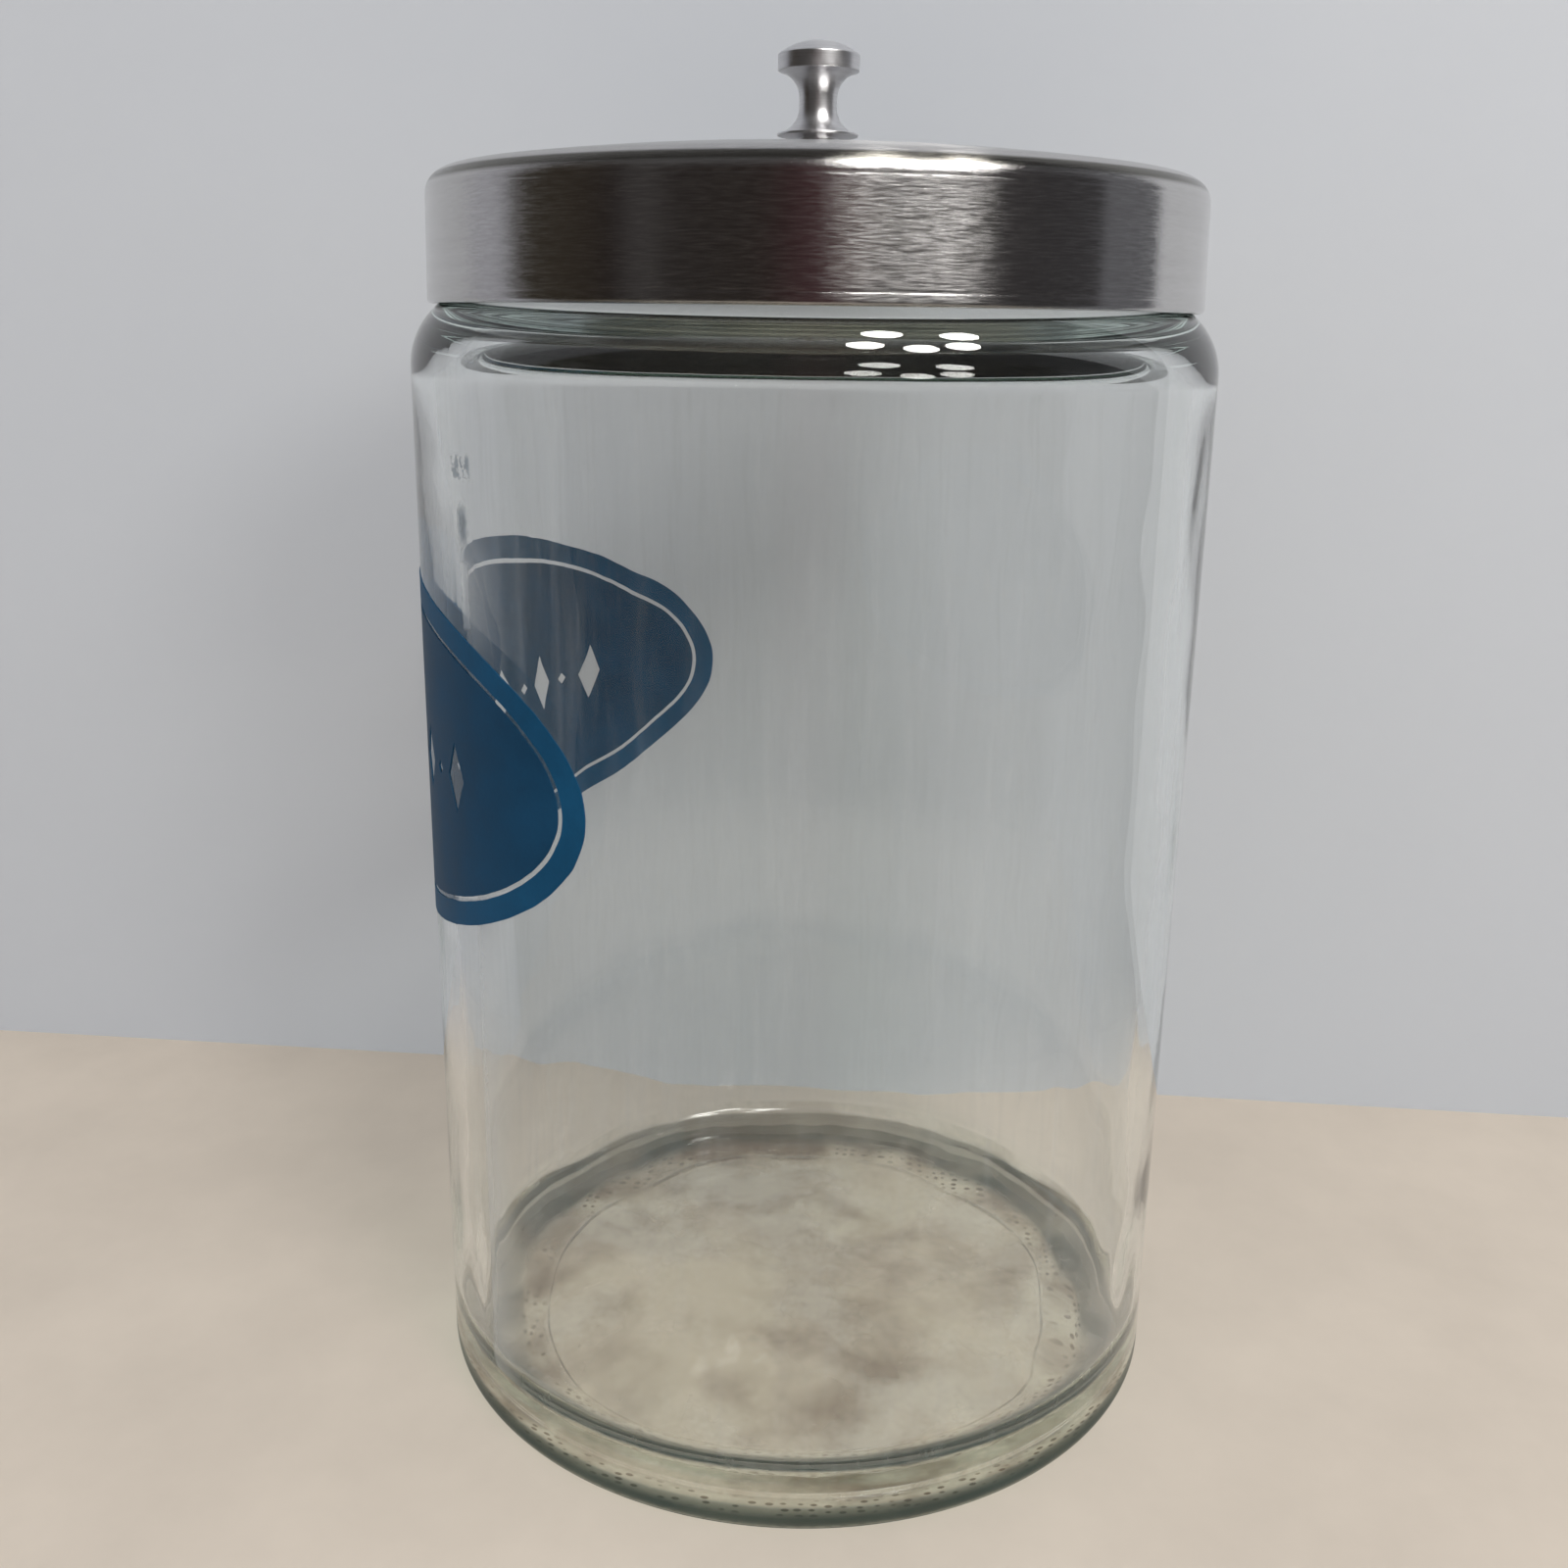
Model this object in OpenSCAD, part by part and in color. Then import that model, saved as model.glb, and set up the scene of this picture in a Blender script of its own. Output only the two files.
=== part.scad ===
// Lidded glass canister: a blown jar with an enamel oval fired on its wall, and a
// drawn steel lid that slips over the neck and lifts off by a turned knob.
// All sizes are in millimetres. The origin is the centre of the base, on the surface
// that the jar stands on. +Z is up, and the middle of the enamel oval faces -Y.

/* [Jar] */
// Outer diameter of the straight wall
body_d = 108; // [96:0.5:140]
// Thickness of the straight wall
wall_t = 3; // [2:0.1:4.5]
// Height at which the straight wall ends and the shoulder begins
shoulder_z = 146; // [126:1:240]
// Radius of the shoulder's outer curve
shoulder_r = 10.4; // [7:0.2:14]
// Radius of the shoulder's inner curve, which leaves the glass thicker at the neck
inner_shoulder_r = 6.8; // [5.6:0.2:9]
// How far below the outer curve the inner curve begins
shoulder_drop = 1.2; // [0:0.1:3]
// Step in from the wall's outer face to the neck's outer face
neck_inset = 4.75; // [3:0.25:7]
// Height from the start of the shoulder to the top of the lip
neck_h = 23.9; // [20:0.5:34]
// Thickness of the neck's wall, which the lip rounds over in full
neck_t = 3.5; // [2.5:0.1:5]
// Radius of the hollow between the shoulder and the neck, outside
neck_blend_r = 1; // [0.5:0.1:2]
// Radius of the swelling between the shoulder and the neck, inside
throat_blend_r = 2.5; // [1:0.5:6]

/* [Base] */
// Thickness of the glass floor at the bearing ring
floor_t = 5.6; // [4.5:0.1:9]
// Radius of the outer edge between the wall and the base
heel_r = 3; // [1:0.25:5]
// Radius of the inner corner between the wall and the floor
inner_heel_r = 7; // [3:0.5:12]
// Diameter of the raised part under the base, inside the bearing ring
push_up_d = 80; // [50:1:90]
// Depth of the step at the edge of the raised part
push_up_step = 0.7; // [0.3:0.1:1.2]
// Rise of the raised part from its edge to its middle
push_up_rise = 1.8; // [0.6:0.1:2.6]
// Rise of the floor's upper face from its edge to its middle
floor_rise = 1.6; // [0.5:0.1:3]

/* [Enamel oval] */
// Length of the oval, measured round the wall
label_w = 124; // [80:1:140]
// Height of the oval
label_h = 49.6; // [34:0.2:60]
// Height of the oval's middle above the base
label_z = 95.5; // [60:0.5:96]
// Thickness of the fired enamel
label_t = 0.15; // [0.1:0.05:0.4]
// Width of the border outside the clear line
border_w = 3.45; // [2:0.05:6]
// Width of the clear line between the border and the field
line_w = 0.7; // [0.4:0.1:1.5]
// Number of tall clear lozenges in the row across the field
lozenges = 7; // [3:2:9]
// Distance between the tall lozenges, measured round the wall
lozenge_pitch = 12; // [8:0.5:14]
// Width of a tall lozenge
lozenge_w = 5; // [3:0.25:6.5]
// Height of a tall lozenge
lozenge_h = 9.5; // [5:0.5:14]
// Width and height of the small lozenge between two tall ones
spacer_w = 2; // [1:0.1:3]

/* [Lid] */
// Thickness of the steel sheet
sheet_t = 0.6; // [0.4:0.05:0.9]
// Radial gap between the neck and the inside of the hem
lid_gap = 1.05; // [0.6:0.05:1.6]
// Gap between the hem and the jar's shoulder
skirt_gap = 0.35; // [0.3:0.05:1.5]
// Gap left between the lid and the lip it rests on
seat_gap = 0.05; // [0.02:0.01:0.2]
// How much smaller the skirt's radius is at its top than at its hem
skirt_draft = 0.3; // [0:0.05:0.8]
// Radius of the rounded edge between the skirt and the top
lid_edge_r = 3.1; // [1.5:0.1:4]
// Rise of the domed top above the rounded edge
lid_rise = 3.5; // [2:0.1:8]
// Height of the hem folded up inside the skirt
hem_h = 1.5; // [1.2:0.1:3]
// Diameter of the flat in the middle of the dome, which carries the knob
pad_d = 12; // [10.5:0.5:18]

/* [Knob] */
// Diameter of the knob's foot and head
knob_d = 10.7; // [9:0.1:16]
// Diameter of the waist
waist_d = 5; // [4.8:0.1:7]
// Radius of the hollow above and below the waist
waist_r = 3.3; // [2.8:0.1:4.5]
// Length of the straight part of the waist
waist_h = 1.1; // [0:0.1:4]
// Diameter of the boss that stands on the lid
boss_d = 5.5; // [5:0.1:8]
// Height of the boss up to the foot
boss_h = 1.85; // [0.6:0.05:3]
// How far the foot's underside rises from the boss to its edge
foot_cone = 0.25; // [0:0.05:0.5]
// Thickness of the foot's edge
foot_t = 0.3; // [0.2:0.05:1]
// Height of the head's straight rim
rim_h = 2; // [1:0.1:4]
// Rise of the head's crown above the rim
crown_h = 1.75; // [0.5:0.05:3]

/* [Screw and washer] */
// Diameter of the screw's thread
screw_d = 3.5; // [3:0.1:3.8]
// Gap between the thread's outside and the tapped hole's wall
thread_gap = 0.01; // [0.01:0.01:0.05]
// Length of thread inside the knob
thread_grip = 4.6; // [3:0.1:5]
// Depth of the tapped hole beyond the screw's tip
tip_gap = 0.5; // [0.3:0.1:1]
// Diameter of the screw's pan head
head_d = 6.9; // [6:0.1:8.5]
// Height of the screw's pan head
head_h = 2.1; // [1.6:0.1:3]
// Width of the cross recess in the screw's head
recess_w = 0.9; // [0.6:0.1:1.4]
// Length of the cross recess, tip to tip
recess_l = 3.6; // [2.5:0.1:5]
// Depth of the cross recess
recess_depth = 1.2; // [0.6:0.1:1.4]
// Gap between the screw and the holes in the washer and the lid
hole_gap = 0.2; // [0.1:0.05:0.5]
// Diameter of the washer
washer_d = 9; // [8:0.1:10]
// Thickness of the washer
washer_t = 0.8; // [0.5:0.1:1.5]

/* [Hidden] */
$fn = 128;

// Longer than any wall that a cutter passes through
past = 1;
// How far a straight stretch of a curved outline may stray from its true arc
arc_error = 0.008;
// Points closer than this are one point
same_point = 0.001;
// Points in the outline of the enamel oval
oval_points = 96;

// Jar
body_r = body_d / 2;
bore_r = body_r - wall_t;
neck_r = body_r - neck_inset;
throat_r = neck_r - neck_t;
lip_r = neck_t / 2;
lip_centre = [neck_r - lip_r, shoulder_z + neck_h - lip_r];
shoulder_centre = [body_r - shoulder_r, shoulder_z];
inner_shoulder_centre = [bore_r - inner_shoulder_r, shoulder_z - shoulder_drop];
push_up_r = push_up_d / 2;
crown_edge_r = bore_r - inner_heel_r;

// Lid: the rounded edge is tangent to the dome, and both keep their centres for the
// inside faces. The dome stands on the jar's round lip, which it meets tangentially.
lid_r = neck_r + lid_gap + 2 * sheet_t;
edge_centre_r = lid_r - skirt_draft - lid_edge_r;
edge_above_dome = (pow(edge_centre_r, 2) - pow(lid_rise, 2)) / (2 * lid_rise);
edge_end = atan2(edge_above_dome, edge_centre_r);
dome_r = edge_above_dome + lid_edge_r + lid_rise;
lip_reach = dome_r - sheet_t - seat_gap - lip_r;
dome_z = lip_centre.y - sqrt(pow(lip_reach, 2) - pow(lip_centre.x, 2));
edge_centre = [edge_centre_r, dome_z + edge_above_dome];
pad_z = dome_z + sqrt(pow(dome_r, 2) - pow(pad_d / 2, 2));
hem_centre_r = lid_r - sheet_t;
hem_centre = [
    hem_centre_r,
    shoulder_z + sqrt(
        pow(shoulder_r + skirt_gap + sheet_t, 2) - pow(hem_centre_r - shoulder_centre.x, 2))
];
hem_top_z = hem_centre.y - sheet_t + hem_h;
hole_r = screw_d / 2 + hole_gap;

// Knob, measured up from the pad
knob_r = knob_d / 2;
foot_z = boss_h + foot_cone + foot_t;
waist_centre_r = waist_d / 2 + waist_r;
flare_h = sqrt(pow(waist_r, 2) - pow(waist_centre_r - knob_r, 2));
low_flare_z = foot_z + flare_h;
high_flare_z = low_flare_z + waist_h;
rim_z = high_flare_z + flare_h;
tapped_depth = thread_grip + tip_gap;

// Radius of a circle that rises by h over half a chord of length r
function cap_radius(r, h) = (r * r + h * h) / (2 * h);

// Points along an arc, between two angles
function arc(centre, r, from, to) =
    let (steps = max(2, ceil(abs(to - from) / (2 * acos(1 - arc_error / r)))))
    [
        for (i = [0 : steps])
            let (a = from + (to - from) * i / steps)
            centre + r * [cos(a), sin(a)]
    ];

// An outline without the repeated points where one arc runs into the next
function joined(points) = [
    for (i = [0 : len(points) - 1])
        if (i == 0 || norm(points[i] - points[i - 1]) > same_point) points[i]
];

// Centre of a hollow of radius r that blends a neck of radius collar into a shoulder
// curve, or into the flat inside that curve where the neck is narrow
function blend_centre(collar, r, curve_centre, curve_r) =
    let (beyond = max(0, collar + r - curve_centre.x))
    [collar + r, curve_centre.y + sqrt(pow(curve_r + r, 2) - pow(beyond, 2))];

// Angle at which the shoulder curve ends and that hollow begins
function curve_end(blend, curve_centre) =
    atan2(blend.y - curve_centre.y, max(0, blend.x - curve_centre.x));

// A point of the flat pattern, s round the wall and z up, as seen straight from -Y
function wrapped(s, z) = [body_r * sin(s / body_r * 180 / PI), z];

// ---- Jar ----

// The blown jar in one outline: up the outside from the raised part of the base, over
// the full-round lip, and down the inside to the floor's crown
module glass_jar() {
    push_up_circle_r = cap_radius(push_up_r, push_up_rise);
    crown_circle_r = cap_radius(crown_edge_r, floor_rise);
    neck_blend = blend_centre(neck_r, neck_blend_r, shoulder_centre, shoulder_r);
    neck_end = curve_end(neck_blend, shoulder_centre);
    throat_blend = blend_centre(
        throat_r, throat_blend_r, inner_shoulder_centre, inner_shoulder_r);
    throat_end = curve_end(throat_blend, inner_shoulder_centre);

    color([0.80, 0.87, 0.85, 0.45])
    rotate_extrude()
    polygon(joined(concat(
        arc([0, push_up_step + push_up_rise - push_up_circle_r], push_up_circle_r,
            90, acos(push_up_r / push_up_circle_r)),
        [[push_up_r, 0]],
        arc([body_r - heel_r, heel_r], heel_r, -90, 0),
        arc(shoulder_centre, shoulder_r, 0, neck_end),
        arc(neck_blend, neck_blend_r, neck_end + 180, 180),
        arc(lip_centre, lip_r, 0, 180),
        arc(throat_blend, throat_blend_r, 180, throat_end + 180),
        arc(inner_shoulder_centre, inner_shoulder_r, throat_end, 0),
        arc([crown_edge_r, floor_t + inner_heel_r], inner_heel_r, 0, -90),
        arc([0, floor_t + floor_rise - crown_circle_r], crown_circle_r,
            acos(crown_edge_r / crown_circle_r), 90)
    )));
}

// ---- Enamel oval ----

// The enamel's full skin round the wall, before it is cut to a pattern
module enamel_sleeve() {
    translate([0, 0, label_z - label_h / 2 - past])
    linear_extrude(label_h + 2 * past)
    difference() {
        circle(r = body_r + label_t);
        circle(r = body_r);
    }
}

// Carries a flat pattern to the wall's front half
module printed_forward() {
    translate([0, 0, label_z])
    rotate([90, 0, 0])
    linear_extrude(body_r + label_t + past)
        children();
}

// The oval, its edge set in by a margin
module oval(margin) {
    polygon([
        for (i = [0 : oval_points - 1])
            let (a = i * 360 / oval_points)
            wrapped((label_w / 2 - margin) * cos(a), (label_h / 2 - margin) * sin(a))
    ]);
}

module lozenge(s, w, h) {
    polygon([
        wrapped(s - w / 2, 0),
        wrapped(s, h / 2),
        wrapped(s + w / 2, 0),
        wrapped(s, -h / 2)
    ]);
}

module lozenge_row() {
    first = -(lozenges - 1) / 2 * lozenge_pitch;
    for (i = [0 : lozenges - 1])
        lozenge(first + i * lozenge_pitch, lozenge_w, lozenge_h);
    for (i = [0 : lozenges - 2])
        lozenge(first + (i + 0.5) * lozenge_pitch, spacer_w, spacer_w);
}

module label_border() {
    color([0.08, 0.29, 0.43])
    intersection() {
        enamel_sleeve();
        printed_forward()
            difference() {
                oval(0);
                oval(border_w);
            }
    }
}

module label_field() {
    color([0.09, 0.23, 0.35])
    intersection() {
        enamel_sleeve();
        printed_forward()
            difference() {
                oval(border_w + line_w);
                lozenge_row();
            }
    }
}

// ---- Lid ----

// The drawn sheet in one outline: out over the domed top, down the skirt, round the
// folded hem, and back up the inside to the screw's hole
module lid_shell() {
    dome_centre = [0, dome_z];
    inner_dome_r = dome_r - sheet_t;
    inner_edge_r = lid_edge_r - sheet_t;
    inner_pad_z = pad_z - sheet_t;
    hem_share = (hem_top_z - hem_centre.y) / (edge_centre.y - hem_centre.y);

    color([0.72, 0.71, 0.71])
    rotate_extrude()
    polygon(joined(concat(
        [[hole_r, pad_z]],
        arc(dome_centre, dome_r, asin((pad_z - dome_z) / dome_r), edge_end),
        arc(edge_centre, lid_edge_r, edge_end, 0),
        arc(hem_centre, sheet_t, 0, -180),
        [
            [hem_centre.x - sheet_t, hem_top_z],
            [hem_centre.x - skirt_draft * hem_share, hem_top_z]
        ],
        arc(edge_centre, inner_edge_r, 0, edge_end),
        arc(dome_centre, inner_dome_r, edge_end, asin((inner_pad_z - dome_z) / inner_dome_r)),
        [[hole_r, inner_pad_z]]
    )));
}

// ---- Knob and its fastening ----

// Turned from bar: a boss on the pad, a thin foot, a hollow waist and a crowned head
module knob() {
    crown_circle_r = cap_radius(knob_r, crown_h);
    color([0.78, 0.78, 0.79])
    translate([0, 0, pad_z])
    rotate_extrude()
    difference() {
        union() {
            polygon([
                [0, 0],
                [boss_d / 2, 0],
                [boss_d / 2, boss_h],
                [knob_r, boss_h + foot_cone],
                [knob_r, rim_z + rim_h],
                [0, rim_z + rim_h]
            ]);
            intersection() {
                translate([0, rim_z + rim_h + crown_h - crown_circle_r])
                    circle(r = crown_circle_r);
                translate([0, rim_z])
                    square([knob_r, rim_h + crown_h + past]);
            }
        }
        translate([waist_centre_r, low_flare_z])
            circle(r = waist_r);
        translate([waist_centre_r, high_flare_z])
            circle(r = waist_r);
        translate([waist_d / 2, low_flare_z])
            square([waist_centre_r, waist_h]);
        translate([0, -past])
            square([screw_d / 2 + thread_gap, tapped_depth + past]);
    }
}

module knob_screw() {
    head_top_z = pad_z - sheet_t - washer_t;
    head_sphere_r = cap_radius(head_d / 2, head_h / 2);
    color([0.66, 0.66, 0.67])
    difference() {
        rotate_extrude() {
            translate([0, head_top_z - head_h / 2])
                square([head_d / 2, head_h / 2]);
            intersection() {
                translate([0, head_top_z - head_h + head_sphere_r])
                    circle(r = head_sphere_r);
                translate([0, head_top_z - head_h])
                    square([head_d / 2, head_h / 2]);
            }
            translate([0, head_top_z])
                square([screw_d / 2, pad_z + thread_grip - head_top_z]);
        }
        for (turn = [0, 90])
            rotate([0, 0, turn])
                translate([-recess_l / 2, -recess_w / 2, head_top_z - head_h - past])
                    cube([recess_l, recess_w, recess_depth + past]);
    }
}

module screw_washer() {
    color([0.70, 0.70, 0.70])
    translate([0, 0, pad_z - sheet_t - washer_t])
    difference() {
        cylinder(d = washer_d, h = washer_t);
        translate([0, 0, -past])
            cylinder(r = hole_r, h = washer_t + 2 * past);
    }
}

glass_jar();
label_border();
label_field();
lid_shell();
knob();
knob_screw();
screw_washer();
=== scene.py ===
"""Looks of a lidded glass canister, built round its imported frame.

The jar, the lid and the knob are turned pieces. Each takes its half section from its own
CAD node and is turned again with many more segments, so that glass and metal stay smooth
when they bend and mirror light. The enamel oval is cut from its flat pattern and wrapped
round the wall. The screw and the washer stay as they are in CAD.
Everything is in metres: +Z is up, and the middle of the enamel oval faces -Y.
"""

import math
from functools import reduce
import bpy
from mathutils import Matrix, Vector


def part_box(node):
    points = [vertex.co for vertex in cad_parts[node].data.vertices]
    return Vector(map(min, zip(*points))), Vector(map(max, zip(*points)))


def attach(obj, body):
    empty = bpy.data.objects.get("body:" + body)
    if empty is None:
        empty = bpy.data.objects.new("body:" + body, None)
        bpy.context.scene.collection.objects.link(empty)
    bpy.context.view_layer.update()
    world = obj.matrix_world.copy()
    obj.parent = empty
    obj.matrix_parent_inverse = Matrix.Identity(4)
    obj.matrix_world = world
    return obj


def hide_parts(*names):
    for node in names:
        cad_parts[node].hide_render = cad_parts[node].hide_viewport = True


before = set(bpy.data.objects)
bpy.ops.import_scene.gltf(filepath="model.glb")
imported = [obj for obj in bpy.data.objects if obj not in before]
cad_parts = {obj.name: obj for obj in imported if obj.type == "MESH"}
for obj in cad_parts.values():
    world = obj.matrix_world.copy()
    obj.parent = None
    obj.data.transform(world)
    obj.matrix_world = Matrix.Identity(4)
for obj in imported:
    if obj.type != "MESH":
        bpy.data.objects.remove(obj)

from types import SimpleNamespace

import bpy
from mathutils import Matrix, Vector, noise
from mathutils.geometry import delaunay_2d_cdt

MM = 0.001
TAU = 2 * math.pi
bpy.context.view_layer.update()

# ---- Sizes, from the frame ----
lid_low, lid_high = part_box("lid_shell")
border_low, border_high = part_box("label_border")
field_low, field_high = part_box("label_field")
body_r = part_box("glass_jar")[1].x  # the outside of the wall

# ---- Turning ----
SAME_RING = 0.02 * MM  # rings of a CAD mesh closer than this are one ring
ON_AXIS = 0.001 * MM
SHARP_TURN = math.radians(24)  # corners sharper than this are eased
JAR_EASE = 0.35 * MM
LID_EASE = 0.12 * MM
KNOB_EASE = 0.14 * MM
SHARP_EDGE = math.radians(40)  # edges sharper than this are shaded as edges
JAR_SEGMENTS = 255
CREASE_STEP = math.radians(0.16)  # finer segments about the crease
CREASE_STEPS = 17  # to each side of it
PUCKER_STEP = 0.2 * MM  # between rings: at the small ripples, on the wall's wavy inside,
WAVY_STEP = 2 * MM  # on its straight outside, on the curves and on the floor
STRAIGHT_STEP = 24 * MM
CURVED_STEP = 0.6 * MM
FLOOR_STEP = 1.6 * MM
KNOB_STEP = 0.3 * MM
LID_SEGMENTS = 350
KNOB_SEGMENTS = 160

# ---- Uneven glass ----
RIPPLE = 0.08 * MM  # how far short waves thicken the wall inwards
RIPPLE_LENGTH = 8 * MM
SWELL = 0.3 * MM  # how far long waves do
SWELL_LENGTH = 35 * MM
FLOOR_WAVE = 0.16 * MM  # waves in the upper face of the glass floor
FLOOR_WAVE_LENGTH = 13 * MM
FLOOR_WAVE_EDGE = (body_r - 16 * MM, body_r - 8 * MM)
FADE = 10 * MM  # over which waves die out towards the shoulder and the inner heel
HEEL_WAVES = 1.5  # how much stronger short waves are near the base
HEEL_WAVES_LOW = 14 * MM
HEEL_WAVES_HIGH = 40 * MM
WAVES_LOW = 9 * MM  # the wall's waves lie between these heights
WAVES_HIGH = 144 * MM
FLOOR_HIGHEST = 9 * MM
FLOOR_LEVEL = 5.6 * MM
HEEL_R = 44 * MM  # the floor's round edge inside, which makes small glints
HEEL_FADE = 2 * MM
HEEL_RIPPLE = 0.28 * MM
HEEL_RIPPLE_LENGTH = 3.0 * MM

# ---- The mould crease: a chill mark inside the wall, where the wall is thick ----
CREASE_ANGLE = math.radians(-49.3)
THICK_RISE = 0.4 * MM  # the wall grows this much thicker towards the crease
THICK_RAMP = 45 * MM  # over this length round the wall
THICK_LEAN = 0.0437  # past the crease it grows faster, but less and less
THICK_SETTLE = 24 * MM
THICK_FADE = 50 * MM  # and then it gets thinner again
EVEN_RIGHT = 10 * MM  # beside the crease the blown waves die out
EVEN_LEFT = (30 * MM, 50 * MM)
THICK_TOP = 144 * MM  # above and below, the wall is even
THICK_TOP_FADE = 34 * MM
THICK_FOOT = 74 * MM
THICK_FOOT_FADE = 18 * MM
STREAK_LOW = 114.5 * MM  # the pale streak, the dark spindle and the ripples, upwards
SPINDLE_LOW = 124 * MM
SPINDLE_HIGH = 132 * MM
PUCKER_LOW = 133 * MM
PUCKER_HIGH = 137 * MM
PUCKER_PITCH = 1.0 * MM
PUCKER_WIDTH = 0.9 * MM
PUCKER_DEPTH = 0.07 * MM


def eased_step(x, low, high):
    """0 below low and 1 above high, with a smooth rise between."""
    t = min(max((x - low) / (high - low), 0.0), 1.0)
    return t * t * (3 - 2 * t)


def bell(x, width):
    return math.exp(-((x / width) ** 2))


# ---- Half sections ----


def outline_of(node):
    """The half section [(r, z), ...] of a turned CAD node, its rings in order, with the
    piece's outside on the right. It ends on the axis, or where it began."""
    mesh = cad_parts[node].data
    rings = []

    def ring_at(co):
        point = (math.hypot(co.x, co.y), co.z)
        for i, known in enumerate(rings):
            if math.dist(point, known) < SAME_RING:
                return i
        rings.append(point)
        return len(rings) - 1

    ring_of = [ring_at(v.co) for v in mesh.vertices]
    beside = [set() for _ in rings]
    for edge in mesh.edges:
        a, b = (ring_of[v] for v in edge.vertices)
        if a != b:
            beside[a].add(b)
            beside[b].add(a)
    ends = [i for i, near in enumerate(beside) if len(near) == 1]
    start = min(ends or range(len(rings)), key=lambda i: rings[i][1])
    order = [start]
    while True:
        onward = [i for i in beside[order[-1]] if i not in order]
        if not onward:
            break
        order.append(max(onward, key=lambda i: rings[i][0]) if len(order) == 1 else onward[0])
    return [rings[i] for i in order]


def turn_at(outline, i):
    """How sharply an outline turns at its point i."""
    before, here, after = (Vector(outline[(i + k) % len(outline)]) for k in (-1, 0, 1))
    return abs((here - before).angle_signed(after - here, 0.0))


def rounded(outline, radius, closed=False):
    """The outline with its sharp corners eased, as edges of real pieces are."""
    made = []
    for i, here in enumerate(outline):
        inner = closed or 0 < i < len(outline) - 1
        if not inner or turn_at(outline, i) < SHARP_TURN:
            made.append(here)
            continue
        before, corner, after = (
            Vector(outline[(i + k) % len(outline)]) for k in (-1, 0, 1)
        )
        reach = min(radius, (corner - before).length * 0.4, (after - corner).length * 0.4)
        a = corner + (before - corner).normalized() * reach
        b = corner + (after - corner).normalized() * reach
        for t in (0, 0.25, 0.5, 0.75, 1):
            made.append(tuple(a.lerp(corner, t).lerp(corner.lerp(b, t), t)))
    return made


def spaced(outline, step_at, closed=False):
    """The outline with points added, so that none is further than step_at(middle) from
    the next."""
    made = []
    following = outline[1:] + (outline[:1] if closed else [])
    for a, b in zip(outline, following):
        middle = ((a[0] + b[0]) / 2, (a[1] + b[1]) / 2)
        parts = max(1, math.ceil(math.dist(a, b) / step_at(middle)))
        for k in range(parts):
            t = k / parts
            made.append((a[0] + (b[0] - a[0]) * t, a[1] + (b[1] - a[1]) * t))
    return made if closed else made + outline[-1:]


def even_angles(segments):
    return [TAU * k / segments for k in range(segments)]


def turned(name, outline, angles, closed=False, shaped=None):
    """A mesh turned from an outline. shaped(i, r, z, angle) says where the point of ring
    i really lies, as (r, z)."""
    points, rings = [], []
    for i, (r, z) in enumerate(outline):
        ring = []
        for a in angles[:1] if r < ON_AXIS else angles:
            at_r, at_z = shaped(i, r, z, a) if shaped else (r, z)
            ring.append(len(points))
            points.append((at_r * math.cos(a), at_r * math.sin(a), at_z))
        rings.append(ring)
    faces = []
    for low, high in zip(rings, rings[1:] + (rings[:1] if closed else [])):
        for k in range(len(angles)):
            corners = (
                low[k % len(low)],
                low[(k + 1) % len(low)],
                high[(k + 1) % len(high)],
                high[k % len(high)],
            )
            faces.append(tuple(dict.fromkeys(corners)))
    return piece_of(name, points, faces)


def piece_of(name, points, faces):
    mesh = bpy.data.meshes.new(name)
    mesh.from_pydata(points, [], faces)
    mesh.validate()
    mesh.shade_smooth()
    mesh.set_sharp_from_angle(angle=SHARP_EDGE)
    piece = bpy.data.objects.new(name, mesh)
    bpy.context.scene.collection.objects.link(piece)
    return piece


def stands_for(piece, node, body, material):
    """Puts a new piece in the place of a CAD node."""
    piece.data.materials.append(material)
    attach(piece, body)
    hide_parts(node)


# ---- Jar ----


def puckers(left, z):
    """The small ripples at the top of the crease; left is the way round from it."""
    if abs(left) > 4 * PUCKER_WIDTH or not PUCKER_LOW < z < PUCKER_HIGH:
        return 0.0
    wave = 0.5 - 0.5 * math.cos(TAU * (z - PUCKER_LOW) / PUCKER_PITCH)
    return PUCKER_DEPTH * wave * bell(left, PUCKER_WIDTH)


def thick_side(left):
    """The wall's greater thickness about the crease."""
    if left < 0:
        return THICK_RISE * max(1 + left / THICK_RAMP, 0.0)
    rest = 1 - min(left / THICK_SETTLE, 1.0)
    grown = THICK_RISE + THICK_LEAN * THICK_SETTLE * (1 - rest**3) / 3
    return grown * (1 - eased_step(left, THICK_SETTLE, THICK_SETTLE + THICK_FADE))


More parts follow.
